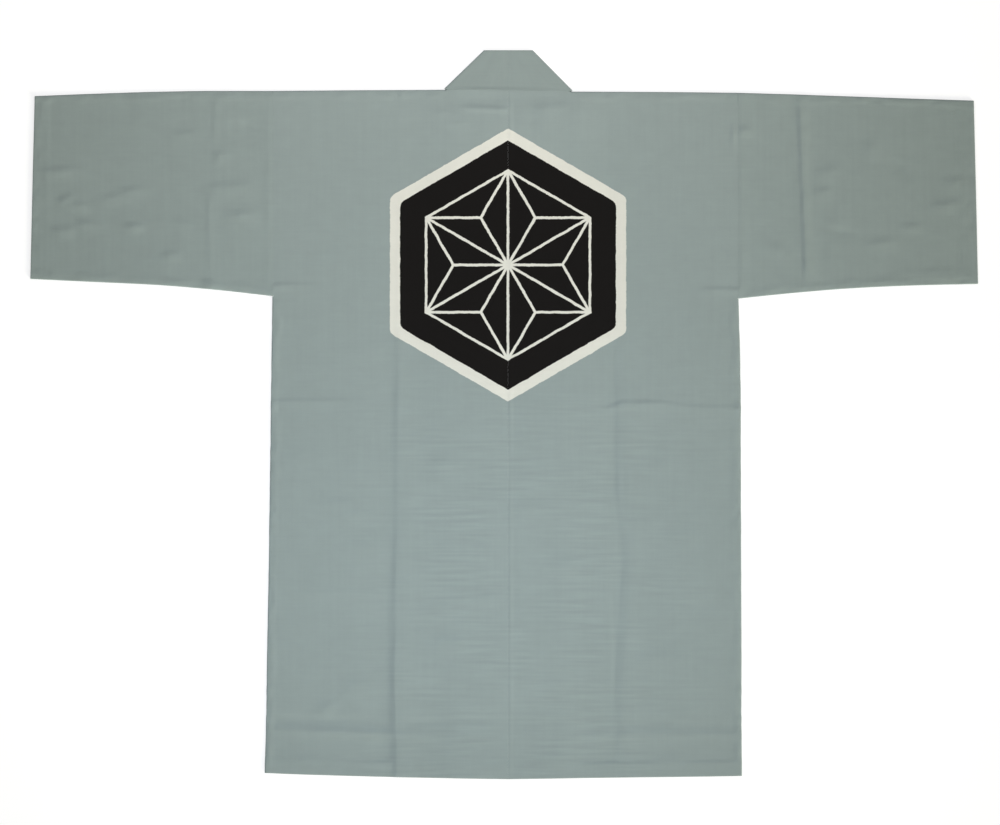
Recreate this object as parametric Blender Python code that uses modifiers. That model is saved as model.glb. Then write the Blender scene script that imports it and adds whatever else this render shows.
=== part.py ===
"""Happi coat, laid flat on its front with its back up.

Metres, +Z up, +Y towards the collar, +X towards the wearer's right. The origin
is under the middle of the coat, on the surface that it lies on.

The coat is cut from straight strips of cotton. Each half of the body is one
strip, folded over the shoulder: the front ply lies on the surface and the back
ply lies on it. Each sleeve is a strip folded into a flat tube. The collar is one
band: its two front lengths lie on the surface between the front plies and under
the back plies, and at the neck it turns over on two diagonal folds, to stand
above the back neck.

Sizes below are millimetres.
"""

import math
from collections import namedtuple

import bmesh
import bpy

MM = 0.001

# --- plies, bottom to top -------------------------------------------------
CLOTH = 1.2  # one ply of slub cotton, with its turned edges
BAND = 2.0  # the collar: the strip folded on itself round its stiffening
PLY_GAP = 0.4  # air between two plies that lie on each other
SEAM_GAP = 0.3  # between two pieces that a seam joins
NECK_GAP = 0.5  # between the back ply and the collar's turned corners
FRONT_Z = CLOTH / 2  # middle of the front ply
BACK_Z = CLOTH * 1.5 + PLY_GAP  # middle of the back ply, on the front ply
BACK_ON_BAND_Z = BAND + PLY_GAP + CLOTH / 2  # middle of the back ply, on the collar
BAND_FRONT_Z = BAND / 2
BAND_BACK_Z = BAND * 1.5 + SEAM_GAP  # middle of the collar behind the neck

# --- body -----------------------------------------------------------------
CENTRE_X = 5.2  # the centre back seam
RISE = 34.0  # the back ply climbs onto the collar over this width
SAG = 0.9  # the back ply sinks this far between the collar's front lengths
SAG_GAP = 60.0  # at a gap this wide

Side = namedtuple("Side", "y x")  # side seam, from the underarm to the hem
SIDE = {
    "left": [Side(163.2, -320.1), Side(20, -322.0), Side(-200, -324.9), Side(-494.5, -330.6)],
    "right": [Side(159.8, 323.6), Side(20, 326.6), Side(-200, 327.1), Side(-498.6, 328.1)],
}
ARMHOLE_X = {"left": -319.2, "right": 322.6}

Edge = namedtuple("Edge", "x y")
SHOULDER = {  # the fold over the shoulder, from the armhole to the neck
    "left": [Edge(-319.2, 447.0), Edge(-200, 447.9), Edge(-81.7, 448.5)],
    "right": [Edge(322.6, 444.4), Edge(200, 445.6), Edge(93.0, 446.0)],
}
HEM = {  # from the side seam to the centre back
    "left": [Edge(-330.6, -494.5), Edge(-280, -496.5), Edge(-120, -500.8), Edge(5.2, -502.9)],
    "right": [Edge(328.1, -498.6), Edge(280, -499.4), Edge(130, -501.2), Edge(5.2, -502.9)],
}

# --- sleeves --------------------------------------------------------------
Sleeve = namedtuple("Sleeve", "x top under")  # from the armhole to the cuff
SLEEVE = {
    "left": [
        Sleeve(-319.5, 447.0, 163.6),
        Sleeve(-400, 447.0, 172.5),
        Sleeve(-480, 445.8, 179.0),
        Sleeve(-570, 443.0, 183.4),
        Sleeve(-651, 439.8, 187.3),
    ],
    "right": [
        Sleeve(322.9, 444.4, 160.2),
        Sleeve(400, 442.1, 168.0),
        Sleeve(480, 439.3, 174.4),
        Sleeve(570, 436.2, 178.5),
        Sleeve(651, 433.6, 180.4),
    ],
}
CUFF_SLANT = 2.95  # the cuff's under corner is this far out from its middle

# --- collar ---------------------------------------------------------------
Neck = namedtuple("Neck", "base_x base_y top_x")  # the diagonal fold's two ends
NECK = {
    "left": Neck(-81.4, 448.8, -25.5),
    "right": Neck(92.7, 446.3, 36.8),
}
COLLAR_TOP_Y = 502.9
FREE_EDGE_GAP = 10.0  # between the two front lengths at the hem
Lean = namedtuple("Lean", "part share")  # how the front lengths lean inwards
LEAN = [Lean(0.0, 0.0), Lean(0.12, 0.05), Lean(0.35, 0.28), Lean(0.7, 0.68), Lean(1.0, 1.0)]

# --- how finely the plies are divided ---------------------------------------
RING = 4  # steps round a folded edge
ACROSS = [0, 0.18, 0.36, 0.54, 0.72]  # side seam to the foot of the rise
CLIMB = [0, 0.5, 1]  # up the rise to the collar seam
ON_BAND = [3.0, 28.0, 50.0]  # past the collar seam
BELOW = [0, 0.08, 0.2, 0.35, 0.5, 0.65, 0.8, 0.92, 1]  # hem to underarm
ABOVE = [0.2, 0.4, 0.6, 0.78, 0.88, 0.94, 0.975, 1]  # underarm to shoulder
SLEEVE_ACROSS = [0, 0.25, 0.5, 0.75, 1]
SLEEVE_ALONG = [0, 0.1, 0.24, 0.4, 0.55, 0.7, 0.85, 1]


def smooth(t):
    t = min(max(t, 0.0), 1.0)
    return t * t * (3 - 2 * t)


def mix(a, b, t):
    return a + (b - a) * t


def read(rows, column, value, at):
    """The table's value at a place between its rows, on a curve that bends smoothly and never overshoots."""
    xs = [getattr(row, column) for row in rows]
    ys = [getattr(row, value) for row in rows]
    if xs[0] > xs[-1]:
        xs, ys = xs[::-1], ys[::-1]
    at = min(max(at, xs[0]), xs[-1])
    slopes = [(ys[i + 1] - ys[i]) / (xs[i + 1] - xs[i]) for i in range(len(xs) - 1)]
    bends = [slopes[0]]
    for a, b in zip(slopes, slopes[1:]):
        bends.append(2 * a * b / (a + b) if a * b > 0 else 0.0)
    bends.append(slopes[-1])
    i = max(k for k in range(len(xs) - 1) if xs[k] <= at)
    run = xs[i + 1] - xs[i]
    t = (at - xs[i]) / run
    return (
        ys[i] * (1 + 2 * t) * (1 - t) ** 2
        + ys[i + 1] * t * t * (3 - 2 * t)
        + run * bends[i] * t * (1 - t) ** 2
        - run * bends[i + 1] * t * t * (1 - t)
    )


def inward(side):
    """+1 or -1: the way along X from this side's armhole to the centre back."""
    return 1 if side == "left" else -1


def band_base_x(side, y):
    """The collar's sewn edge on this front, at this height."""
    neck = NECK[side]
    hem_y = HEM[side][-1].y
    width = abs(neck.top_x - neck.base_x)
    hem_x = CENTRE_X - inward(side) * (FREE_EDGE_GAP / 2 + width)
    down = (neck.base_y - y) / (neck.base_y - hem_y)
    return mix(neck.base_x, hem_x, read(LEAN, "part", "share", down))


def seam_x(side, y):
    """The front ply's edge, beside the collar's sewn edge."""
    return band_base_x(side, y) - inward(side) * SEAM_GAP


def side_x(side, y):
    under = SIDE[side][0]
    if y >= under.y:
        return mix(under.x, ARMHOLE_X[side], min((y - under.y) / 20, 1))
    return read(SIDE[side], "y", "x", y)


def back_z(side, x, y):
    """The middle of the back ply: it climbs onto the collar, and sinks a little between the collar's front lengths."""
    to_seam = (x - seam_x(side, y)) * inward(side)
    z = mix(BACK_Z, BACK_ON_BAND_Z, smooth(1 + to_seam / RISE))
    width = abs(NECK[side].top_x - NECK[side].base_x)
    free_x = band_base_x(side, y) + inward(side) * width
    gap = 2 * abs(CENTRE_X - free_x)
    past = (x - free_x) * inward(side)
    if past > 0:
        from_neck = smooth((NECK[side].base_y - y - 8) / 90)
        z -= SAG * (min(gap / SAG_GAP, 1) ** 2) * from_neck * smooth(past / (gap / 2))
    return z


def hem_y(side, x):
    return read(HEM[side], "x", "y", x)


def fold_radius(side, x, y):
    """Half the height between the middles of the front and back plies."""
    return (back_z(side, x, y) - FRONT_Z) / 2


def heights():
    """The rows of a body strip, from hem to shoulder: (which block, share of it)."""
    return [("below", v) for v in BELOW] + [("above", v) for v in ABOVE]


def row_y(side, row, low, top):
    block, share = row
    under = SIDE[side][0].y
    return mix(low, under, share) if block == "below" else mix(under, top, share)


def shoulder_y(side, x):
    """The line where a ply turns into the shoulder fold."""
    edge = read(SHOULDER[side], "x", "y", x)
    return edge - CLOTH / 2 - fold_radius(side, x, edge)


def neck_y(side, x):
    """The back ply's cut edge under the collar."""
    left, right = NECK["left"], NECK["right"]
    t = (x - left.base_x) / (right.base_x - left.base_x)
    return mix(left.base_y, right.base_y, t) - NECK_GAP


def column_x(side, column, y):
    """Where a column of the strip stands at this height."""
    zone, share = column
    edge, seam = side_x(side, y), seam_x(side, y)
    if zone == "across":
        return mix(edge, seam - inward(side) * RISE, share / ACROSS[-1])
    if zone == "climb":
        return seam - inward(side) * RISE * (1 - share)
    if zone == "band":
        return seam + inward(side) * share
    free = seam + inward(side) * (SEAM_GAP + abs(NECK[side].top_x - NECK[side].base_x))
    last = CENTRE_X - inward(side) * SEAM_GAP / 2
    return mix(free, last, share)


def columns(ply):
    front = [("across", a) for a in ACROSS] + [("climb", c) for c in CLIMB[1:]]
    if ply == "front":
        return front
    return front + [("band", b) for b in ON_BAND] + [("centre", 0.0), ("centre", 0.5), ("centre", 1.0)]


def strip_point(side, column, row):
    """Plan position of one point of the strip. Below the underarm the side fold takes its own width from the plies."""
    y = 0.0
    x = CENTRE_X
    for _ in range(6):
        low = hem_y(side, x)
        on_fold = column[0] in ("across", "climb")
        top = shoulder_y(side, x) if on_fold else neck_y(side, x)
        y = row_y(side, row, low, top)
        x = column_x(side, column, y)
    if column[0] == "across":
        radius = CLOTH / 2 + (BACK_Z - FRONT_Z) / 2
        folded = 1.0 if row[0] == "below" else 0.0
        x += inward(side) * radius * folded * (1 - column[1] / ACROSS[-1])
    return x, y


def lay(bm, across, up, place):
    """Adds a grid of points, one for each of across and up, and puts each where place says."""
    made = bmesh.ops.create_grid(bm, x_segments=len(across) - 1, y_segments=len(up) - 1, size=1)
    for vert in made["verts"]:
        i = round((vert.co.x + 1) / 2 * (len(across) - 1))
        j = round((vert.co.y + 1) / 2 * (len(up) - 1))
        vert.co = [c * MM for c in place(across[i], up[j])]


def half_turn(step):
    """(outwards, upwards) on a half-round, from the front ply up to the back ply."""
    angle = math.pi * step / RING
    return math.sin(angle), -math.cos(angle)


def body_strip(side):
    """One strip: back ply, front ply, the fold over the shoulder and the closed side below the underarm."""
    bm = bmesh.new()
    rows = heights()
    steps = list(range(RING + 1))

    def back(column, row):
        x, y = strip_point(side, column, row)
        return x, y, back_z(side, x, y)

    def front(column, row):
        x, y = strip_point(side, column, row)
        return x, y, FRONT_Z

    def shoulder(column, step):
        x, y = strip_point(side, column, rows[-1])
        radius = fold_radius(side, x, y)
        out, up = half_turn(step)
        return x, y + out * radius, FRONT_Z + radius + up * radius

    def side_fold(row, step):
        x, y = strip_point(side, ("across", 0), row)
        radius = fold_radius(side, x, y)
        out, up = half_turn(step)
        return x - inward(side) * out * radius, y, FRONT_Z + radius + up * radius

    lay(bm, columns("back"), rows, back)
    lay(bm, columns("front"), rows, front)
    lay(bm, columns("front"), steps, shoulder)
    lay(bm, rows[: len(BELOW)], steps, side_fold)
    return bm


def sleeve_tube(side):
    """A flat tube, folded along the top of the arm and along the underarm seam."""
    bm = bmesh.new()
    rows = SLEEVE[side]
    radius = (BACK_Z - FRONT_Z) / 2
    steps = list(range(RING + 1))
    out_x = -inward(side)

    def at(along, across):
        x = mix(rows[0].x, rows[-1].x, along)
        top = read(rows, "x", "top", x) - radius - CLOTH / 2
        under = read(rows, "x", "under", x) + radius + CLOTH / 2
        y = mix(under, top, across)
        slant = smooth((along - 0.5) / 0.5) * CUFF_SLANT * (1 - 2 * across)
        return x + out_x * slant, y

    def ply(z):
        return lambda along, across: (*at(along, across), z)

    def fold(across, way):
        def place(along, step):
            x, y = at(along, across)
            out, up = half_turn(step)
            return x, y + way * out * radius, FRONT_Z + radius + up * radius

        return place

    lay(bm, SLEEVE_ALONG, SLEEVE_ACROSS, ply(BACK_Z))
    lay(bm, SLEEVE_ALONG, SLEEVE_ACROSS, ply(FRONT_Z))
    lay(bm, SLEEVE_ALONG, steps, fold(1, 1))
    lay(bm, SLEEVE_ALONG, steps, fold(0, -1))
    return bm


def collar_stations():
    """The collar's length, from the left hem over the neck to the right hem."""
    up = [("front", "left", part / 12) for part in range(13)]
    turn = [("turn", "left", step) for step in range(1, RING)]
    behind = [("behind", "left", part / 4) for part in range(5)]
    turned = [("turn", "right", step) for step in range(RING - 1, 0, -1)]
    down = [("front", "right", 1 - part / 12) for part in range(13)]
    return up + turn + behind + turned + down


def collar_band():
    bm = bmesh.new()
    radius = (BAND_BACK_Z - BAND_FRONT_Z) / 2

    def end(side, across):
        """The diagonal fold, from the sewn edge to the free edge."""
        neck = NECK[side]
        return mix(neck.base_x, neck.top_x, across), mix(neck.base_y, COLLAR_TOP_Y, across)

    def place(across, station):
        kind, side, part = station
        neck = NECK[side]
        width = neck.top_x - neck.base_x
        if kind == "front":
            hem = hem_y(side, CENTRE_X - inward(side) * abs(width) * (1 - across))
            y = mix(hem, end(side, across)[1], part)
            return band_base_x(side, y) + width * across, y, BAND_FRONT_Z
        if kind == "behind":
            left, right = end("left", across), end("right", across)
            return mix(left[0], right[0], part), mix(left[1], right[1], part), BAND_BACK_Z
        x, y = end(side, across)
        rise = COLLAR_TOP_Y - neck.base_y
        length = math.hypot(width, rise)
        out, up = half_turn(part)
        along = (width / length, rise / length)
        away = (-inward(side) * along[1], abs(along[0]))
        slide = across * out * (radius + BAND / 2) * away[1] / along[1]  # keeps the free edge level
        return (
            x + away[0] * out * radius - along[0] * slide,
            y + away[1] * out * radius - along[1] * slide,
            BAND_FRONT_Z + radius + up * radius,
        )

    lay(bm, [0, 0.5, 1], collar_stations(), place)
    return bm


def material(name, colour, roughness):
    mat = bpy.data.materials.new(name)
    mat.use_nodes = True
    shader = next(n for n in mat.node_tree.nodes if n.type == "BSDF_PRINCIPLED")
    shader.inputs["Base Color"].default_value = (*colour, 1)
    shader.inputs["Roughness"].default_value = roughness
    shader.inputs["Metallic"].default_value = 0
    mat.diffuse_color = (*colour, 1)
    return mat


def solid(name, bm, thickness, colour, into):
    """Welds the sheet's plies and folds, and gives it its thickness."""
    bmesh.ops.remove_doubles(bm, verts=bm.verts, dist=0.00002)
    bmesh.ops.recalc_face_normals(bm, faces=bm.faces)
    mesh = bpy.data.meshes.new(name)
    bm.to_mesh(mesh)
    bm.free()
    obj = bpy.data.objects.new(name, mesh)
    into.objects.link(obj)
    wall = obj.modifiers.new("wall", "SOLIDIFY")
    wall.thickness = thickness * MM
    wall.offset = 0
    wall.use_even_offset = True
    mesh.materials.append(material(name, colour, 0.9))
    return obj


def main():
    for obj in list(bpy.data.objects):
        bpy.data.objects.remove(obj)
    coat = bpy.data.collections.new("happi_coat")
    bpy.context.scene.collection.children.link(coat)
    for side in ("left", "right"):
        solid(f"body_{side}", body_strip(side), CLOTH, (0.29, 0.345, 0.33), coat)
        solid(f"sleeve_{side}", sleeve_tube(side), CLOTH, (0.25, 0.30, 0.28), coat)
    solid("collar", collar_band(), BAND, (0.29, 0.34, 0.335), coat)


main()
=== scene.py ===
"""The looks of the happi coat, which lies flat on its front with its back up.

Every size is in millimetres, in the coat's own frame (+X towards the wearer's
right, +Y towards the collar, +Z up), and turns into metres where a mesh is made.
Each piece of cloth is a thin shell on the form of its solid. The shell's back
ply carries the pressed creases, the small wrinkles, the ridges of the seams and
the soft lie of the cloth; its hems and cuffs are really turned in.
"""

import math
from collections import namedtuple

import bmesh
import bpy
import numpy as np
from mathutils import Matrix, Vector


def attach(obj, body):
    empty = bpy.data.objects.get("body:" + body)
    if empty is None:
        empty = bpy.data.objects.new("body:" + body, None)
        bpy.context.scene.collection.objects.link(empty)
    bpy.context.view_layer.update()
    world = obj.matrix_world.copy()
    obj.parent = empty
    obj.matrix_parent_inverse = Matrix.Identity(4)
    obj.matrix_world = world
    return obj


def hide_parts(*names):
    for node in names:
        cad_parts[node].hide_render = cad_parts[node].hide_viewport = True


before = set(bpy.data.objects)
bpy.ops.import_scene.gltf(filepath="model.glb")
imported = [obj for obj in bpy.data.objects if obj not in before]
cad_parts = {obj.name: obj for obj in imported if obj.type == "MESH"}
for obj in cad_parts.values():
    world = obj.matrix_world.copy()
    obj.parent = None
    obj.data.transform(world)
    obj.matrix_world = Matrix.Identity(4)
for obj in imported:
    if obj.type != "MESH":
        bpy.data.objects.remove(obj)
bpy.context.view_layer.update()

MM = 0.001

# --- plies, bottom to top -------------------------------------------------
CLOTH = 0.7  # one ply of cloth
BAND = 1.8  # the collar, with its folded plies
CLEAR = 0.06  # air between two plies that touch
TURN = 0.38  # radius of a turned hem, at the middle of the cloth
SEAM_GAP = 0.06  # between two pieces that a seam joins
NECK_GAP = 0.06
FRONT_Z = 0.02 + CLOTH / 2
BACK_Z = 2.2
BACK_ON_BAND_Z = 3.0
BAND_FRONT_Z = 0.05 + BAND / 2
BAND_BACK_Z = 3.0

# --- body, as in the solid --------------------------------------------------
CENTRE_X = 5.2
RISE = 55.0  # the back ply climbs onto the collar over this width
SAG = 0.8  # and sinks between the collar's front lengths
SAG_GAP = 60.0

Side = namedtuple("Side", "y x")
SIDE = {
    "left": [Side(163.2, -320.1), Side(20, -322.0), Side(-200, -324.9), Side(-494.5, -330.6)],
    "right": [Side(159.8, 323.6), Side(20, 326.6), Side(-200, 327.1), Side(-498.6, 328.1)],
}
ARMHOLE_X = {"left": -319.2, "right": 322.6}

Edge = namedtuple("Edge", "x y")
SHOULDER = {
    "left": [Edge(-319.2, 447.0), Edge(-200, 447.9), Edge(-81.7, 448.5)],
    "right": [Edge(322.6, 444.4), Edge(200, 445.6), Edge(93.0, 446.0)],
}
HEM = {
    "left": [Edge(-330.6, -494.5), Edge(-280, -496.5), Edge(-120, -500.8), Edge(5.2, -502.9)],
    "right": [Edge(328.1, -498.6), Edge(280, -499.4), Edge(130, -501.2), Edge(5.2, -502.9)],
}

# --- sleeves, as in the solid -----------------------------------------------
Sleeve = namedtuple("Sleeve", "x top under")
SLEEVE = {
    "left": [
        Sleeve(-319.5, 447.0, 163.6),
        Sleeve(-400, 447.0, 172.5),
        Sleeve(-480, 445.8, 179.0),
        Sleeve(-570, 443.0, 183.4),
        Sleeve(-651, 439.8, 187.3),
    ],
    "right": [
        Sleeve(322.9, 444.4, 160.2),
        Sleeve(400, 442.1, 168.0),
        Sleeve(480, 439.3, 174.4),
        Sleeve(570, 436.2, 178.5),
        Sleeve(651, 433.6, 180.4),
    ],
}
CUFF_SLANT = 2.95

# --- collar, as in the solid --------------------------------------------------
Neck = namedtuple("Neck", "base_x base_y top_x")
NECK = {"left": Neck(-81.4, 448.8, -25.5), "right": Neck(92.7, 446.3, 36.8)}
COLLAR_TOP_Y = 502.9
FREE_EDGE_GAP = 10.0
Lean = namedtuple("Lean", "part share")
LEAN = [Lean(0.0, 0.0), Lean(0.12, 0.05), Lean(0.35, 0.28), Lean(0.7, 0.68), Lean(1.0, 1.0)]

# --- hems, seams and folds ------------------------------------------------------
HEM_DEPTH = 17.5  # how far the hem and the cuffs are turned in
HEM_RISE = 0.22  # the ply stands this much higher over the turned part
ALLOWANCE = 5.0  # the armhole's seam allowance, pressed into the sleeve: its ridge stands this far from the seam
ALLOWANCE_RISE = 0.32
CENTRE_ALLOWANCE = 3.4  # the centre seam's, pressed to the right
CENTRE_RISE = 0.3
NECK_RISE = [  # how far the neck seam stands up over its own turned-in cloth
    Edge(-82, 0.15), Edge(-60, 0.75), Edge(-20, 0.9), Edge(10, 0.62), Edge(50, 0.4), Edge(93, 0.15),
]
ROLL = 0.5  # a folded edge stands up in a soft roll this high
ROLL_FROM_EDGE = 7.0
PUCKER = 0.4  # and is puckered by this much
PRESS = 1.1  # every crease below is this many times as high
CRUMPLE = 3.1  # and every wrinkle

# --- pressed creases ---------------------------------------------------------------
# A stop gives the crease's place and its depth there: under 0 for a ridge, whose
# place is that of its shaded flank. `low` and `high` are the widths of its two flanks,
# on the side of smaller and of larger coordinates, since a pressed crease is steep on
# one side and spreads on the other.
Stop = namedtuple("Stop", "x y depth")
Crease = namedtuple("Crease", "runs low high stops")
CREASES = [
    Crease("up", 4.6, 13.0, [  # left of the centre back, from the shoulder to the hem
        Stop(-148.5, 447, 0.0), Stop(-148.5, 400, -0.16), Stop(-147.9, 300, -0.14), Stop(-149.0, 180, -0.2),
        Stop(-149.0, 60, -0.34), Stop(-149.6, -5, -0.76), Stop(-149.6, -45, -0.5), Stop(-149.0, -150, -0.54),
        Stop(-151.8, -215, -0.66), Stop(-153.0, -300, -0.74), Stop(-153.4, -352, -0.92), Stop(-152.6, -425, -0.95),
        Stop(-151.6, -436, -0.8), Stop(-150.6, -462, -0.95), Stop(-151.0, -500, -0.8),
    ]),
    Crease("up", 26.0, 6.0, [  # the dip beside it
        Stop(-158.0, 100, 0.0), Stop(-158.4, 0, 0.24), Stop(-158.0, -140, 0.26), Stop(-161.5, -260, 0.4),
        Stop(-162.5, -350, 0.5), Stop(-162.0, -425, 0.46), Stop(-161.0, -465, 0.6), Stop(-161.0, -502, 0.5),
    ]),
    Crease("up", 9.0, 26.0, [  # and the soft swell on its other side
        Stop(-139.0, 30, 0.0), Stop(-139.0, -40, -0.28), Stop(-139.5, -200, -0.36), Stop(-140.0, -330, -0.44),
        Stop(-140.0, -440, -0.4), Stop(-140.0, -500, -0.2),
    ]),
    Crease("up", 16.0, 5.2, [  # right of the centre back
        Stop(151.0, 447, 0.0), Stop(151.5, 300, 0.14), Stop(151.5, 120, 0.22), Stop(151.0, 0, 0.7),
        Stop(151.4, -90, 0.8), Stop(157.0, -150, 0.62), Stop(161.6, -195, 0.74), Stop(158.0, -255, 0.62),
        Stop(153.5, -330, 0.58), Stop(151.0, -395, 0.54), Stop(152.5, -440, 0.5), Stop(151.0, -500, 0.3),
    ]),
    Crease("up", 4.0, 14.0, [  # and the soft ridge behind it
        Stop(165.0, 60, 0.0), Stop(165.0, -20, -0.2), Stop(171.0, -150, -0.24), Stop(172.0, -240, -0.3),
        Stop(164.0, -330, -0.26), Stop(161.0, -420, -0.2), Stop(161.0, -470, 0.0),
    ]),
    Crease("up", 4.6, 4.0, [  # and the faint line before it
        Stop(141.5, -240, 0.0), Stop(142.5, -280, -0.2), Stop(143.5, -340, -0.24), Stop(143.0, -400, 0.0),
    ]),
    Crease("up", 3.5, 9.5, [  # the right sleeve's sharp ridge
        Stop(404.5, 440, -0.1), Stop(405.8, 424, -0.7), Stop(406.8, 403, -1.15), Stop(409.4, 330, -1.2),
        Stop(411.7, 250, -1.35), Stop(413.4, 205, -1.2), Stop(414.4, 186, -0.45), Stop(415.0, 170, 0.0),
    ]),
    Crease("up", 9.0, 4.0, [  # the dip beside it near the fold
        Stop(397.0, 442, 0.0), Stop(398.0, 424, 0.3), Stop(399.0, 405, 0.3), Stop(400.0, 380, 0.05), Stop(401.0, 300, 0.0),
    ]),
    Crease("up", 5.0, 8.0, [  # the right sleeve's splay towards the underarm
        Stop(415.0, 215, 0.0), Stop(419.0, 199, -0.35), Stop(425.0, 182, -0.4), Stop(429.0, 170, -0.1),
    ]),
    Crease("up", 5.0, 6.5, [  # further out on the right sleeve, faint
        Stop(446.0, 275, 0.0), Stop(446.5, 262, -0.22), Stop(446.5, 215, -0.26), Stop(447.0, 196, 0.0),
    ]),
    Crease("up", 4.0, 7.0, [  # the left sleeve's, in two lengths
        Stop(-401.0, 442, 0.0), Stop(-401.6, 428, -0.34), Stop(-402.4, 395, -0.42), Stop(-404.0, 372, -0.08),
        Stop(-407.0, 308, -0.08), Stop(-409.0, 290, -0.4), Stop(-409.4, 236, -0.42), Stop(-408.4, 205, -0.18),
        Stop(-408.0, 182, 0.0),
    ]),
    Crease("up", 5.0, 5.0, [
        Stop(-528.0, 222, 0.0), Stop(-529.0, 206, 0.16), Stop(-530.0, 196, 0.0),
    ]),
    Crease("across", 8.0, 3.0, [  # where the armhole ends, left
        Stop(-321, 179.6, -0.4), Stop(-300, 180.6, -0.62), Stop(-276, 180.8, -0.4), Stop(-248, 180.2, -0.1),
        Stop(-215, 180.0, 0.0),
    ]),
    Crease("across", 8.0, 2.8, [  # where the armhole ends, right
        Stop(262, 173.8, 0.0), Stop(284, 174.4, -0.4), Stop(302, 175.2, -0.66), Stop(326, 174.2, -0.6),
    ]),
    Crease("across", 10.0, 3.0, [  # the waist fold, under the crest
        Stop(-323, 20.3, -0.5), Stop(-290, 20.8, -0.56), Stop(-230, 21.2, -0.36), Stop(-185, 21.4, -0.16),
        Stop(-90, 19.5, -0.1), Stop(60, 16.0, -0.1), Stop(138, 10.6, -0.3), Stop(149, 12.6, -0.75),
        Stop(165, 17.4, -0.85), Stop(214, 18.4, -0.72), Stop(240, 13.6, -0.4), Stop(300, 11.6, -0.44),
        Stop(327, 11.4, -0.34),
    ]),
    Crease("across", 8.0, 4.0, [
        Stop(-300, -241.0, 0.0), Stop(-280, -242.0, -0.2), Stop(-226, -241.2, -0.28), Stop(-186, -242.0, -0.2),
        Stop(-150, -242.0, 0.0),
    ]),
    Crease("across", 6.5, 5.5, [  # the low fold: a dip above and a ridge below
        Stop(-326, -419.5, 0.5), Stop(-250, -421.0, 0.6), Stop(-180, -423.0, 0.54), Stop(-150, -425.5, 0.14),
        Stop(-110, -423.0, 0.32), Stop(-20, -421.5, 0.26), Stop(60, -423.0, 0.12), Stop(150, -425.0, 0.2),
        Stop(240, -426.0, 0.3), Stop(328, -427.5, 0.26),
    ]),
    Crease("across", 8.0, 5.0, [
        Stop(-327, -431.6, -0.5), Stop(-246, -433.2, -0.8), Stop(-226, -434.0, -0.95), Stop(-166, -436.6, -1.05),
        Stop(-146, -438.0, -0.45), Stop(-60, -439.0, -0.2), Stop(60, -440.0, -0.16), Stop(150, -438.0, -0.36),
        Stop(200, -437.0, -0.52), Stop(328, -438.0, -0.46),
    ]),
    Crease("across", 70.0, 42.0, [  # the soft dip where the coat was folded over
        Stop(-329, -424.0, 0.4), Stop(-100, -424.0, 0.55), Stop(100, -424.0, 0.55), Stop(329, -426.0, 0.4),
    ]),
    Crease("across", 3.5, 3.4, [  # under the neck
        Stop(-68, 425.6, 0.0), Stop(-48, 424.8, -0.65), Stop(-20, 423.8, -1.05), Stop(-4, 423.2, -0.95), Stop(8, 423.0, 0.0),
    ]),
    Crease("across", 6.0, 5.0, [
        Stop(-98, 419.0, 0.0), Stop(-84, 420.5, -0.4), Stop(-72, 417.0, -0.4), Stop(-60, 410.0, -0.3),
        Stop(-46, 407.0, 0.0),
    ]),
    Crease("across", 5.0, 4.0, [
        Stop(-84, 406.0, 0.0), Stop(-66, 405.5, -0.4), Stop(-44, 406.0, 0.0),
    ]),
    Crease("across", 6.0, 5.0, [
        Stop(36, 424.0, 0.0), Stop(60, 427.0, -0.36), Stop(82, 429.0, -0.4), Stop(92, 429.5, 0.0),
    ]),
    Crease("across", 50.0, 21.0, [  # the swell below the neck
        Stop(-110, 429.0, 0.0), Stop(-62, 429.0, -0.8), Stop(-20, 430.0, -1.1), Stop(10, 431.0, -1.4),
        Stop(60, 431.0, -1.5), Stop(92, 430.0, -1.2), Stop(140, 428.0, 0.0),
    ]),
]

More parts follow.
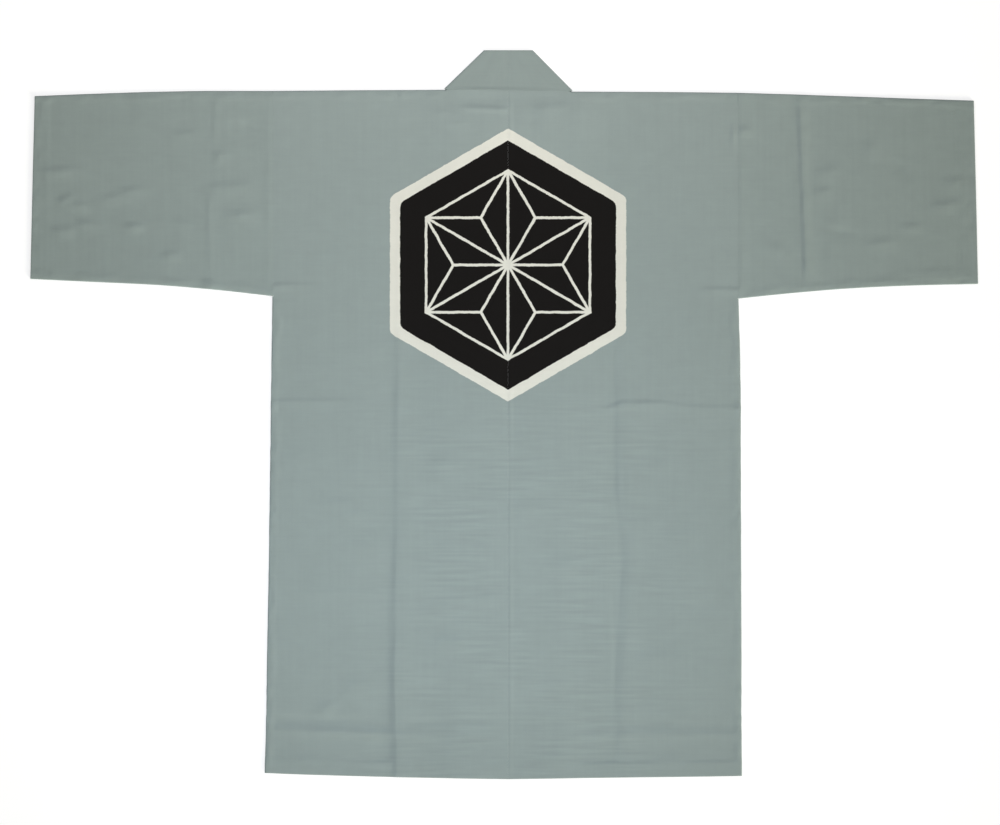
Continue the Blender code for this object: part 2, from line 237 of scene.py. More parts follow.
# Short wrinkles: `turn` is degrees from the weft, `length` and `width` are half sizes.
Wrinkle = namedtuple("Wrinkle", "x y length width turn depth")
WRINKLES = [
    Wrinkle(-617, 340.0, 24, 4.4, 2, -0.36), Wrinkle(-606, 301.0, 11, 4.0, 24, -0.36),
    Wrinkle(-587, 291.5, 13, 4.4, -4, -0.36), Wrinkle(-513, 312.5, 15, 4.0, 3, -0.26),
    Wrinkle(-510, 263.5, 12, 3.4, -3, -0.36), Wrinkle(-608, 258.5, 13, 4.6, 0, -0.34),
    Wrinkle(-573, 267.0, 14, 4.2, -5, -0.32), Wrinkle(-378, 319.0, 26, 5.2, 3, -0.4),
    Wrinkle(-364, 280.0, 18, 5.0, 8, -0.34), Wrinkle(-462, 223.0, 15, 5.2, 12, -0.34),
    Wrinkle(-404, 183.5, 13, 4.6, -8, -0.34), Wrinkle(-440, 391.0, 17, 4.0, 4, -0.22),
    Wrinkle(-392, 361.0, 9, 4.6, 10, -0.3), Wrinkle(-545, 302.0, 16, 4.0, 14, -0.2),
    Wrinkle(-440, 268.0, 14, 5.0, -16, -0.22), Wrinkle(-352, 402.0, 20, 5.0, -10, 0.3),
    Wrinkle(334, 396.0, 9, 4.0, -14, -0.4), Wrinkle(440, 311.5, 12, 4.2, 0, -0.3),
    Wrinkle(562, 263.0, 15, 3.8, -4, -0.2), Wrinkle(523, 241.0, 17, 4.4, 6, -0.3),
    Wrinkle(612, 293.5, 20, 4.6, 6, -0.28), Wrinkle(622, 325.5, 17, 4.8, 0, -0.22),
    Wrinkle(444, 341.0, 14, 6.0, 0, -0.3), Wrinkle(506, 375.0, 8, 8.0, 0, -0.26),
    Wrinkle(590, 200.0, 40, 4.4, 2, -0.22), Wrinkle(470, 256.0, 20, 4.0, -9, 0.22),
    Wrinkle(548, 345.0, 20, 4.6, -38, 0.26), Wrinkle(380, 232.0, 18, 5.0, -20, -0.22),
    Wrinkle(316, 396.0, 3.2, 8.0, 0, -0.4), Wrinkle(-190, 100.0, 30, 7.0, 6, -0.16),
    Wrinkle(-280, -50.0, 24, 6.0, -4, -0.14), Wrinkle(-226, -118.0, 26, 4.6, 0, -0.26),
    Wrinkle(-205, -132.0, 22, 4.2, 0, -0.24), Wrinkle(-196, -176.0, 18, 4.6, 0, -0.18),
    Wrinkle(-205, -368.0, 13, 7.0, 0, -0.3), Wrinkle(-244, -398.0, 12, 5.0, 20, -0.3),
    Wrinkle(-100, -262.0, 22, 5.0, 0, -0.2), Wrinkle(-76, -308.0, 26, 5.0, 3, -0.28),
    Wrinkle(-94, -66.0, 12, 9.0, 84, -0.22), Wrinkle(-40, -250.0, 30, 4.6, 0, -0.24),
    Wrinkle(40, -120.0, 26, 5.0, -3, -0.18), Wrinkle(86, -200.0, 24, 5.4, 4, -0.2),
    Wrinkle(226, -60.0, 24, 6.0, -3, -0.16), Wrinkle(250, -160.0, 22, 6.0, 5, -0.16),
    Wrinkle(214, -330.0, 28, 6.0, 0, -0.2), Wrinkle(270, -260.0, 20, 6.0, 0, 0.16),
    Wrinkle(-40, -400.0, 16, 5.0, 0, -0.2), Wrinkle(60, -470.0, 24, 4.4, 3, -0.18),
    Wrinkle(-270, -470.0, 22, 5.0, -4, -0.22), Wrinkle(230, -472.0, 24, 5.0, 4, -0.2),
]

# --- how finely the cloth is divided --------------------------------------------------
COARSE = 5.2
Mark = namedtuple("Mark", "at hold step")  # finer for `hold` either side of a place
RING = 8  # steps round a folded edge
HEM_STEPS = 6  # steps round a turned hem
TURNED_IN = [HEM_DEPTH, 12.5, 7.0, 2.5]


def smooth(t):
    t = np.clip(t, 0.0, 1.0)
    return t * t * (3 - 2 * t)


def mix(a, b, t):
    return a + (b - a) * t


def read(rows, column, value, at):
    """The table's values at places between its rows, on a curve that bends smoothly and never overshoots."""
    xs = np.array([getattr(row, column) for row in rows], float)
    ys = np.array([getattr(row, value) for row in rows], float)
    if xs[0] > xs[-1]:
        xs, ys = xs[::-1], ys[::-1]
    at = np.clip(np.asarray(at, float), xs[0], xs[-1])
    slopes = np.diff(ys) / np.diff(xs)
    bends = np.concatenate([slopes[:1], np.zeros(len(xs) - 2), slopes[-1:]])
    for k in range(1, len(xs) - 1):
        a, b = slopes[k - 1], slopes[k]
        bends[k] = 2 * a * b / (a + b) if a * b > 0 else 0.0
    i = np.clip(np.searchsorted(xs, at, side="right") - 1, 0, len(xs) - 2)
    run = xs[i + 1] - xs[i]
    t = (at - xs[i]) / run
    return (
        ys[i] * (1 + 2 * t) * (1 - t) ** 2
        + ys[i + 1] * t * t * (3 - 2 * t)
        + run * bends[i] * t * (1 - t) ** 2
        - run * bends[i + 1] * t * t * (1 - t)
    )


def scatter(i, j, seed):
    """A fixed number from -1 to 1 for each point of a lattice."""
    n = (i * 374761393 + j * 668265263 + seed * 974634777) & 0xFFFFFFFF
    n = ((n ^ (n >> 13)) * 1274126177) & 0xFFFFFFFF
    return ((n ^ (n >> 16)) & 0xFFFF) / 32767.5 - 1.0


def ripple(x, y, wide, tall, seed):
    """Smooth unevenness from -1 to 1, with humps of about that size."""
    u, v = np.asarray(x, float) / wide + 0.37 * seed, np.asarray(y, float) / tall - 0.71 * seed
    u, v = np.broadcast_arrays(u, v)
    i, j = np.floor(u).astype(np.int64), np.floor(v).astype(np.int64)
    s, t = u - i, v - j
    s, t = s**3 * (s * (6 * s - 15) + 10), t**3 * (t * (6 * t - 15) + 10)
    low = mix(scatter(i, j, seed), scatter(i + 1, j, seed), s)
    high = mix(scatter(i, j + 1, seed), scatter(i + 1, j + 1, seed), s)
    return mix(low, high, t)


def inward(side):
    """+1 or -1: the way along X from this side's armhole to the centre back."""
    return 1 if side == "left" else -1


# --- the plan of the coat ---------------------------------------------------------------


def band_base_x(side, y):
    """The collar's sewn edge on this front, at this height."""
    neck = NECK[side]
    hem = HEM[side][-1].y
    width = abs(neck.top_x - neck.base_x)
    hem_x = CENTRE_X - inward(side) * (FREE_EDGE_GAP / 2 + width)
    down = (neck.base_y - y) / (neck.base_y - hem)
    return mix(neck.base_x, hem_x, read(LEAN, "part", "share", down))


def seam_x(side, y):
    return band_base_x(side, y) - inward(side) * SEAM_GAP


def side_x(side, y):
    under = SIDE[side][0]
    upper = mix(under.x, ARMHOLE_X[side], np.clip((y - under.y) / 20, 0, 1))
    return np.where(y >= under.y, upper, read(SIDE[side], "y", "x", y))


def hem_y(side, x):
    return read(HEM[side], "x", "y", x)


def neck_y(x):
    left, right = NECK["left"], NECK["right"]
    t = (x - left.base_x) / (right.base_x - left.base_x)
    return mix(left.base_y, right.base_y, t) - NECK_GAP


# --- how the cloth lies ---------------------------------------------------------------------


def crease_depth(crease, x, y):
    """The crease's own relief: uneven in depth, and never quite straight."""
    if crease.runs == "up":
        along, across, a, b = y, x, "y", "x"
    else:
        along, across, a, b = x, y, "x", "y"
    seed = 11 + CREASES.index(crease)
    rows = crease.stops
    places = [getattr(row, a) for row in rows]
    inside = (along >= min(places) - 0.5) & (along <= max(places) + 0.5)
    line = read(rows, a, b, along) + 0.7 * ripple(along, 0.0, 24, 1, seed)
    if min(row.depth for row in rows) < 0:
        line = line + (0.7 * crease.low if crease.runs == "up" else -0.7 * crease.high)
    depth = read(rows, a, "depth", along) * (1 + 0.26 * ripple(along, 0.0, 15, 1, seed + 40))
    d = across - line
    width = np.where(d < 0, crease.low, crease.high)
    return np.where(inside, depth * np.exp(-((d / width) ** 2)), 0.0)


def wrinkle_depth(x, y):
    total = np.zeros_like(x)
    for k, w in enumerate(WRINKLES):
        turn = math.radians(w.turn)
        u = (x - w.x) * math.cos(turn) + (y - w.y) * math.sin(turn)
        v = (y - w.y) * math.cos(turn) - (x - w.x) * math.sin(turn)
        v = v + w.width + 1.3 * ripple(u, 0.0, 11, 1, 70 + k)
        width = w.width * np.where(v > 0, 1.35, 2.2)
        uneven = 1 + 0.35 * ripple(u, 0.0, 9, 1, 130 + k)
        total += w.depth * uneven * np.exp(-((u / w.length) ** 2) - (v / width) ** 2)
    return total


def lie(x, y):
    """The soft unevenness of cloth laid by hand, upwards only, with its creases and wrinkles."""
    soft = 0.34 * (ripple(x, y, 150, 190, 1) + 1)
    soft = soft + 0.17 * ripple(x, y, 62, 78, 2) + 0.075 * ripple(x, y, 34, 20, 3)
    soft = soft + 0.035 * ripple(x, y, 16, 12, 4)
    creases = sum(crease_depth(c, x, y) for c in CREASES)
    return soft - PRESS * creases - CRUMPLE * wrinkle_depth(x, y)


def roll(d, along, seed):
    """The soft roll that stands beside a folded edge, d away from it, and the puckers in it."""
    uneven = 0.6 + 0.4 * ripple(along, 0.0, 31, 1, seed) + 0.3 * ripple(along, 0.0, 12, 1, seed + 1)
    peak = ROLL_FROM_EDGE + 2.0 * ripple(along, 0.0, 27, 1, seed + 2)
    puckers = ripple(along, d, 10, 7, seed + 20) * np.exp(-((np.maximum(d - 3, 0) / 10) ** 2))
    return ROLL * uneven * np.exp(-(((d - peak) / 4.6) ** 2)) + PUCKER * puckers


def turned_rise(d, along, seed):
    """A ply over its own turned-in edge, d from the fold: thicker up to the stitches, and puckered by them."""
    over = 1 - smooth((d - HEM_DEPTH) / 8.0)
    pucker = ripple(along, d, 10, 8, seed) + 0.6 * ripple(along, 0.0, 23, 1, seed + 1)
    near = np.exp(-(((d - HEM_DEPTH + 10) / 9.0) ** 2))
    dimple = -0.04 * np.exp(-(((d - HEM_DEPTH + 1.5) / 2.2) ** 2))
    return HEM_RISE * over + 0.24 * pucker * near + dimple


def front_lie(x, y):
    """The front ply rests on the surface, and lifts only by a little along its creases."""
    soft = 0.07 * (ripple(x, y, 120, 160, 31) + 1) + 0.02 * (ripple(x, y, 30, 22, 32) + 1)
    crease = sum(np.abs(crease_depth(c, x, y)) for c in CREASES)
    return soft + 0.22 * np.tanh(crease * 1.6)


def above(z, floor):
    """z, eased up wherever it would come under floor."""
    return floor + np.logaddexp(0.0, (z - floor) * 14.0) / 14.0


def body_front_z(side, x, y):
    return FRONT_Z + front_lie(x, y)


def body_back_z(side, x, y):
    """The middle of the back ply."""
    to_seam = (x - seam_x(side, y)) * inward(side)
    z = mix(BACK_Z, BACK_ON_BAND_Z, smooth(1 + to_seam / RISE))
    width = abs(NECK[side].top_x - NECK[side].base_x)
    free_x = band_base_x(side, y) + inward(side) * width
    gap = 2 * np.abs(CENTRE_X - free_x)
    past = np.maximum((x - free_x) * inward(side), 0)
    from_neck = smooth((NECK[side].base_y - y - 8) / 90)
    z = z - SAG * (np.minimum(gap / SAG_GAP, 1) ** 2) * from_neck * smooth(past / (gap / 2))
    z = z + lie(x, y)

    under = SIDE[side][0].y
    from_hem = y - hem_y(side, x)
    z = z + turned_rise(from_hem, x, 51)
    z = z + 0.5 * (ripple(x, 0.0, 96, 1, 53) + 0.8) * np.exp(-((np.maximum(from_hem, 0) / 60) ** 2))
    if side == "right":
        ridge = np.exp(-(((x - CENTRE_X - CENTRE_ALLOWANCE) / 2.4) ** 2))
        z = z + CENTRE_RISE * ridge * (1 + 0.5 * ripple(y, 0.0, 37, 1, 57) + 0.3 * ripple(y, 0.0, 14, 1, 58))
    edge = read(SHOULDER[side], "x", "y", x)
    outside = smooth(-to_seam / 14)
    z = z + roll(edge - y, x, 61) * outside
    z = z + read(NECK_RISE, "x", "y", x) * np.exp(-(((neck_y(x) - y) / 9.0) ** 2)) * (1 - outside)
    z = z + roll(np.abs(x - side_x(side, y)), y, 64) * smooth((under - y) / 18)

    over_band = smooth((to_seam + 4) / 4) * (1 - smooth(past / 4))
    under_it = mix(body_front_z(side, x, y) + CLOTH / 2, BAND_FRONT_Z + BAND / 2, over_band)
    under_it = np.where(past > 4, 0.1, under_it)
    turned = 2 * TURN * (1 - smooth((from_hem - HEM_DEPTH - 3) / 3))
    both = np.where(to_seam < 0, 2 * turned, turned)
    return above(z, under_it + both + CLEAR + CLOTH / 2)


def body_radius(side, x, y):
    return (body_back_z(side, x, y) - body_front_z(side, x, y)) / 2


def fold_line(side):
    """Where the flat part of the plies ends below the shoulder fold: places along X, and their Y."""
    x = np.linspace(min(row.x for row in SHOULDER[side]), max(row.x for row in SHOULDER[side]), 600)
    fold_y = read(SHOULDER[side], "x", "y", x)
    return x, fold_y - CLOTH / 2 - body_radius(side, x, fold_y - 2.0)


def from_cuff(side, x):
    """Distance from the cuff's folded end."""
    return np.maximum((SLEEVE[side][-1].x - x) * -inward(side), 0.0)


def sleeve_front_z(side, x, y):
    return FRONT_Z + front_lie(x, y)


def sleeve_back_z(side, x, y):
    z = BACK_Z + lie(x, y)
    d = from_cuff(side, x)
    seed = 81 if side == "left" else 91
    z = z + turned_rise(d, y, seed)
    z = z + 0.1 * ripple(y, x, 14, 16, seed + 2) * (1 - smooth((d - 22) / 8))
    z = z + 0.6 * (ripple(y, 0.0, 88, 1, seed + 3) + 0.7) * np.exp(-((d / 55) ** 2))
    z = z + roll(read(SLEEVE[side], "x", "top", x) - y, x, seed + 4)
    z = z + roll(y - read(SLEEVE[side], "x", "under", x), x, seed + 7)
    past_seam = np.abs(x - ARMHOLE_X[side]) - ALLOWANCE
    ridge = np.exp(-((past_seam / np.where(past_seam < 0, 3.0, 6.0)) ** 2))
    z = z + ALLOWANCE_RISE * ridge * (1 + 0.3 * ripple(y, 0.0, 26, 1, 56) + 0.3 * ripple(y, 0.0, 11, 1, 57))
    turned = 4 * TURN * (1 - smooth((d - HEM_DEPTH - 3) / 3))
    return above(z, sleeve_front_z(side, x, y) + turned + CLEAR + CLOTH)


# --- laying out the points --------------------------------------------------------------------


def divide(start, end, marks, coarse=COARSE):
    """Shares from 0 to 1 of the way from start to end, closer together near the marks."""
    at = np.linspace(start, end, 4001)
    step = np.full_like(at, coarse)
    for mark in marks:
        t = np.clip((np.abs(at - mark.at) - mark.hold) / 14.0, 0, 1)
        step = np.minimum(step, mix(mark.step, coarse, t))
    length = abs(end - start) / 4000
    run = np.concatenate([[0], np.cumsum(length / ((step[1:] + step[:-1]) / 2))])
    count = max(1, round(run[-1]))
    return np.interp(np.linspace(0, run[-1], count + 1), run, np.linspace(0, 1, 4001))


class Sheet:
    """Grids of points that become one mesh, with each point's place in the flat cloth."""

    def __init__(self):
        self.points, self.flat, self.faces, self.count = [], [], [], 0

    def grid(self, x, y, z, across, along):
        x, y, z, across, along = (np.asarray(a, float) for a in np.broadcast_arrays(x, y, z, across, along))
        rows, cols = x.shape
        index = np.arange(rows * cols).reshape(rows, cols) + self.count
        quads = np.stack([index[:-1, :-1], index[:-1, 1:], index[1:, 1:], index[1:, :-1]], axis=-1)
        self.points.append(np.stack([x, y, z], axis=-1).reshape(-1, 3) * MM)
        self.flat.append(np.stack([across, along, along * 0], axis=-1).reshape(-1, 3) * MM)
        self.faces.append(quads.reshape(-1, 4))
        self.count += rows * cols

    def mesh(self, name):
        """One welded open surface."""
        data = bpy.data.meshes.new(name)
        points, flat = np.concatenate(self.points), np.concatenate(self.flat)
        data.from_pydata(points.tolist(), [], np.concatenate(self.faces).tolist())
        place = data.attributes.new("cloth_at", "FLOAT_VECTOR", "POINT")
        place.data.foreach_set("vector", flat.astype(np.float32).ravel())
        bm = bmesh.new()
        bm.from_mesh(data)
        bmesh.ops.remove_doubles(bm, verts=bm.verts, dist=0.00002)
        bmesh.ops.recalc_face_normals(bm, faces=bm.faces)
        bm.to_mesh(data)
        bm.free()
        return data


def settle(obj):
    """Makes the modifiers part of the mesh."""
    graph = bpy.context.evaluated_depsgraph_get()
    made = bpy.data.meshes.new_from_object(
        obj.evaluated_get(graph), preserve_all_data_layers=True, depsgraph=graph
    )
    made.name = obj.name
    obj.modifiers.clear()
    obj.data = made
    made.shade_smooth()
    made.set_sharp_from_angle(angle=math.radians(48))
    return obj


def shell(name, sheet, thickness, bevel=0.0):
    obj = bpy.data.objects.new(name, sheet.mesh(name))
    bpy.context.scene.collection.objects.link(obj)
    wall = obj.modifiers.new("wall", "SOLIDIFY")
    wall.thickness = thickness * MM
    wall.offset = 0
    wall.use_even_offset = True
    if bevel:
        edge = obj.modifiers.new("edge", "BEVEL")
        edge.width = bevel * MM
        edge.segments = 4
        edge.limit_method = "ANGLE"
        edge.angle_limit = math.radians(60)
        edge.use_clamp_overlap = True
    return settle(obj)


def body(side):
    """One strip: back ply, front ply, the shoulder fold between them and the closed side under the arm."""
    way = inward(side)
    under = SIDE[side][0].y
    last = CENTRE_X - way * SEAM_GAP / 2
    edge_top = ARMHOLE_X[side]
    corner = float(seam_x(side, NECK[side].base_y))
    crease = -150.5 if side == "left" else 158.0
    hold = 11.0 if side == "left" else 17.0

    outer = divide(edge_top, corner, [Mark(edge_top, 14, 2.4), Mark(crease, hold, 2.0), Mark(corner, 2, 3.0)])
    inner = divide(corner, last, [Mark(corner, 2, 3.0), Mark(last, 11, 2.0)])
    share = (corner - edge_top) / (last - edge_top)
    back_u = np.concatenate([outer * share, share + inner[1:] * (1 - share)])
    front_u = outer
    neck_col = len(outer) - 1

    low_y, top_y = -498.0, 446.0
    below = divide(low_y, under, [
        Mark(low_y, 24, 2.1), Mark(-433, 16, 2.2), Mark(-384, 16, 3.0), Mark(-305, 6, 3.0), Mark(-242, 5, 2.8),
        Mark(-126, 12, 2.8), Mark(17, 9, 2.2), Mark(under, 6, 2.6),
    ], 4.1)
    over = divide(under, top_y, [Mark(under + 15, 10, 2.2), Mark(415, 14, 2.6), Mark(top_y, 12, 2.6)], 4.1)
    turns = [math.pi * k / HEM_STEPS for k in range(HEM_STEPS, 0, -1)]
    rows = [("inside", d) for d in TURNED_IN] + [("turn", a) for a in turns]
    rows += [("below", v) for v in below] + [("above", v) for v in over[1:]]
    fold = fold_line(side)

    def point(u, row, ply):
        """x, y, how far the cloth is turned in there, and the y whose lie it follows."""
        kind, value = row
        x = np.full_like(u, -200.0 * way)
        y = np.zeros_like(u)
        sit = y
        inset = 0.0
        for _ in range(7):
            low = hem_y(side, x) + TURN + CLOTH / 2
            top = np.interp(x, *fold)
            if ply == "back":
                top = np.where(np.arange(len(u)) <= neck_col, top, neck_y(x))
            if kind == "inside":
                y, sit, inset = low + value, low + value, 2 * TURN
            elif kind == "turn":
                y, sit, inset = low - math.sin(value) * TURN, low, TURN * (1 - math.cos(value))
            elif kind == "below":
                y = sit = mix(low, under, value)
            else:
                y = sit = mix(under, top, value)
            folded = smooth(1 - (sit - under) / 2.0)
            edge = np.where(sit > under, ARMHOLE_X[side], side_x(side, sit)) + way * (CLOTH / 2 + SIDE_RADIUS) * folded
            end = last if ply == "back" else seam_x(side, sit)
            x = mix(edge, end, u)
        return x, y, sit, inset

    sheet = Sheet()
    plies = {}
    for ply, u in (("back", back_u), ("front", front_u)):
        xs, ys, sits, insets = [], [], [], []
        for row in rows:
            x, y, sit, inset = point(u, row, ply)
            xs.append(x), ys.append(y), sits.append(sit), insets.append(np.full_like(x, inset))
        plies[ply] = tuple(np.array(a) for a in (xs, ys, sits, insets))

    x, y, sit, inset = plies["back"]
    z = body_back_z(side, x, sit)
    sheet.grid(x, y, z - inset, x, y)
    top_x, top_line, top_z = x[-1, : neck_col + 1], y[-1, : neck_col + 1], z[-1, : neck_col + 1]
    side_edge_x, side_edge_y, side_back_z, side_inset = x[:, 0], y[:, 0], z[:, 0], inset[:, 0]

    x, y, sit, inset = plies["front"]
    zf = body_front_z(side, x, sit)
    radius = (top_z - zf[-1]) / 2
    sheet.grid(x, y, zf + inset, x, top_line[None, :] * 2 + math.pi * radius[None, :] - y)

    angle = np.linspace(0, math.pi, RING + 1)[:, None]
    sheet.grid(
        top_x[None, :] + 0 * angle,
        top_line[None, :] + np.sin(angle) * radius[None, :],
        zf[-1][None, :] + radius[None, :] - np.cos(angle) * radius[None, :],
        top_x[None, :] + 0 * angle,
        top_line[None, :] + (math.pi - angle) * radius[None, :],
    )

    closed = len(TURNED_IN) + HEM_STEPS + len(below)
    r = (side_back_z[:closed] - zf[:closed, 0])[None, :] / 2
    middle = zf[:closed, 0][None, :] + r
    r = r - side_inset[:closed][None, :]
    sheet.grid(
        side_edge_x[:closed][None, :] - way * np.sin(angle) * r,
        side_edge_y[:closed][None, :] + 0 * angle,
        middle - np.cos(angle) * r,
        side_edge_x[:closed][None, :] - way * (math.pi - angle) * r,
        side_edge_y[:closed][None, :] + 0 * angle,
    )
    return shell(f"cloth_body_{side}", sheet, CLOTH)


SIDE_RADIUS = (BACK_Z + 0.3 - FRONT_Z) / 2


def sleeve(side):
    """A flat tube, folded at the top of the arm and along the underarm, with its cuff turned in."""
    out = -inward(side)
    rows = SLEEVE[side]
    start = ARMHOLE_X[side] + out * SEAM_GAP
    end = rows[-1].x - out * (TURN + CLOTH / 2)
    crease = 409.5 if side == "right" else -405.5
    marks = [Mark(start, 8, 2.6), Mark(crease, 10, 2.0), Mark(end, 24, 2.2)]
    along = [("along", s) for s in divide(start, end, marks)]
    along += [("turn", math.pi * k / HEM_STEPS) for k in range(1, HEM_STEPS + 1)]
    along += [("inside", d) for d in reversed(TURNED_IN)]
    across = divide(170.0, 440.0, [], 2.3)

    xs, sits, insets, sides = [], [], [], []
    for kind, value in along:
        x = mix(start, end, value) if kind == "along" else end
        sit = x
        inset = 0.0
        if kind == "turn":
            x, inset = end + out * math.sin(value) * TURN, TURN * (1 - math.cos(value))
        if kind == "inside":
            x, inset = end - out * value, 2 * TURN
            sit = x
        xs.append(x), sits.append(sit), insets.append(inset)
    x0 = np.array(xs)[:, None]
    sit = np.array(sits)[:, None]
    inset = np.array(insets)[:, None]

    top = read(rows, "x", "top", sit)
    under = read(rows, "x", "under", sit)

    def radius_at(y):
        return (sleeve_back_z(side, sit, y) - sleeve_front_z(side, sit, y)) / 2

    top_line = top - CLOTH / 2 - radius_at(top - 2.0)
    under_line = under + CLOTH / 2 + radius_at(under + 2.0)
    t = across[None, :]
    y = mix(under_line, top_line, t)
    share = (sit - start) / (end - start)
    slant = smooth((share - 0.5) / 0.5) * CUFF_SLANT
    x = x0 + out * slant * (1 - 2 * t)
    lie_x = sit + 0 * t
    zb = sleeve_back_z(side, lie_x, y)
    zf = sleeve_front_z(side, lie_x, y)

    sheet = Sheet()
    sheet.grid(x, y, zb - inset, x, y)
    r_top = (zb[:, -1] - zf[:, -1])[:, None] / 2
    r_under = (zb[:, 0] - zf[:, 0])[:, None] / 2
    sheet.grid(x, y, zf + inset, x, top_line * 2 + math.pi * r_top - y)
    angle = np.linspace(0, math.pi, RING + 1)[None, :]
    for column, r, line, way in ((-1, r_top, top_line, 1), (0, r_under, under_line, -1)):
        middle = zf[:, column][:, None] + r
        ring = r - inset
        sheet.grid(
            x[:, column][:, None] + 0 * angle,
            line + way * np.sin(angle) * ring,
            middle - np.cos(angle) * ring,
            x[:, column][:, None] + 0 * angle,
            line + way * (math.pi - angle) * ring,
        )
    return shell(f"cloth_sleeve_{side}", sheet, CLOTH)


def collar():
    """One band: up a front edge, turned over at the neck on a diagonal, and the same down the other front."""
    width_steps = np.concatenate([np.linspace(0, 0.15, 7), np.linspace(0.15, 1, 13)[1:]])[None, :]
    radius = (BAND_BACK_Z - BAND_FRONT_Z) / 2
    parts = np.concatenate([np.linspace(0, 0.9, 120), np.linspace(0.9, 1.0, 26)[1:]])
    turn_steps = 10

    def ends(side):
        neck = NECK[side]
        return mix(neck.base_x, neck.top_x, width_steps), mix(neck.base_y, COLLAR_TOP_Y, width_steps)

    def front(side):
        neck = NECK[side]
        width = neck.top_x - neck.base_x
        hem = hem_y(side, CENTRE_X - inward(side) * abs(width) * (1 - width_steps)) + 1.2
        y = mix(hem, ends(side)[1], parts[:, None])
        x = band_base_x(side, y) + width * width_steps
        z = BAND_FRONT_Z + 0 * x
        return np.stack([x, y, z], axis=-1)

    def turn(side):
        neck = NECK[side]
        x, y = ends(side)
        width, rise = neck.top_x - neck.base_x, COLLAR_TOP_Y - neck.base_y
        length = math.hypot(width, rise)
        along = (width / length, rise / length)
        away = (-inward(side) * along[1], abs(along[0]))
        rows = []
        for step in range(1, turn_steps):
            angle = math.pi * step / turn_steps
            out, up = math.sin(angle), -math.cos(angle)
            slide = width_steps * out * (radius + BAND / 2) * away[1] / along[1]
            rows.append(np.stack([
                x + away[0] * out * radius - along[0] * slide,
                y + away[1] * out * radius - along[1] * slide,
                BAND_FRONT_Z + radius + up * radius + 0 * x,
            ], axis=-1)[0])
        return np.array(rows)

    def behind():
        (lx, ly), (rx, ry) = ends("left"), ends("right")
        t = np.linspace(0, 1, 46)[:, None]
        x, y = mix(lx, rx, t), mix(ly, ry, t)
        middle = 1 - np.abs(2 * t - 1) ** 4
        lie_z = 0.16 * ripple(x, y, 46, 30, 101) + 0.07 * ripple(x, y, 18, 14, 102)
        lie_z = lie_z - 0.28 * np.exp(-(((x - 4.2) / 2.6) ** 2)) * smooth((y - 459) / 6)
        lie_z = lie_z + 0.16 * np.exp(-(((y - 456.5) / 4.0) ** 2))
        lie_z = lie_z + read(NECK_RISE, "x", "y", x) * np.exp(-(((y - neck_y(x)) / 3.0) ** 2))
        return np.stack([x, y, BAND_BACK_Z + middle * (0.12 + lie_z)], axis=-1)

    left, right = front("left"), front("right")
    path = np.concatenate([left, turn("left"), behind(), turn("right")[::-1], right[::-1]])
    middle_line = path[:, path.shape[1] // 2]
    gone = np.concatenate([[0], np.cumsum(np.linalg.norm(np.diff(middle_line, axis=0), axis=1))])
    sheet = Sheet()
    wide = abs(NECK["left"].top_x - NECK["left"].base_x)
    sheet.grid(
        path[..., 0], path[..., 1], path[..., 2],
        wide * width_steps + 0 * gone[:, None], gone[:, None] + 0 * width_steps,
    )
    return shell("cloth_collar", sheet, BAND, bevel=0.62)


# --- materials ------------------------------------------------------------------------------------


class Tree:
    """A short way to write a material's nodes."""

    def __init__(self, name):
        self.material = bpy.data.materials.new(name)
        self.material.use_nodes = True
        self.nodes = self.material.node_tree.nodes
        self.links = self.material.node_tree.links
        self.shader = next(n for n in self.nodes if n.type == "BSDF_PRINCIPLED")

    def set(self, socket, value):
        if isinstance(value, bpy.types.NodeSocket):
            self.links.new(value, socket)
        else:
            socket.default_value = value

    def add(self, kind, *inputs, **props):
        made = self.nodes.new(kind)
        for key, value in props.items():
            setattr(made, key, value)
        for socket, value in zip(made.inputs, inputs):
            if value is not None:
                self.set(socket, value)
        return made

    def math(self, operation, a, b=None, c=None):
        return self.add("ShaderNodeMath", a, b, c, operation=operation).outputs[0]

    def sum(self, *values):
        total = values[0]
        for value in values[1:]:
            total = self.math("ADD", total, value)
        return total

    def step(self, value, edge, soft):
        """0 below the edge and 1 above it."""
        made = self.add("ShaderNodeMapRange", value, edge - soft, edge + soft, 0.0, 1.0)
        made.interpolation_type = "SMOOTHSTEP"
        return made.outputs[0]

    def stretched(self, vector, scale, detail=2.0, rough=0.5, shift=(0, 0, 0)):
        """Noise from -1 to 1 with features of 1/scale metres along each axis."""
        moved = self.add("ShaderNodeMapping", vector)
        moved.inputs["Location"].default_value = shift
        moved.inputs["Scale"].default_value = scale
        noise = self.add("ShaderNodeTexNoise", moved.outputs[0])
        noise.inputs["Scale"].default_value = 1.0
        noise.inputs["Detail"].default_value = detail
        noise.inputs["Roughness"].default_value = rough
        return self.math("MULTIPLY_ADD", noise.outputs[0], 2.0, -1.0)


WEFT = 0.00082  # one weft thread to the next
WARP = 0.00074


Weave = namedtuple("Weave", "slubs low_slubs streaks blotches")
BODY_WEAVE = Weave(slubs=0.02, low_slubs=0.1, streaks=0.03, blotches=0.04)
SLEEVE_WEAVE = Weave(slubs=0.02, low_slubs=0.0, streaks=0.045, blotches=0.05)


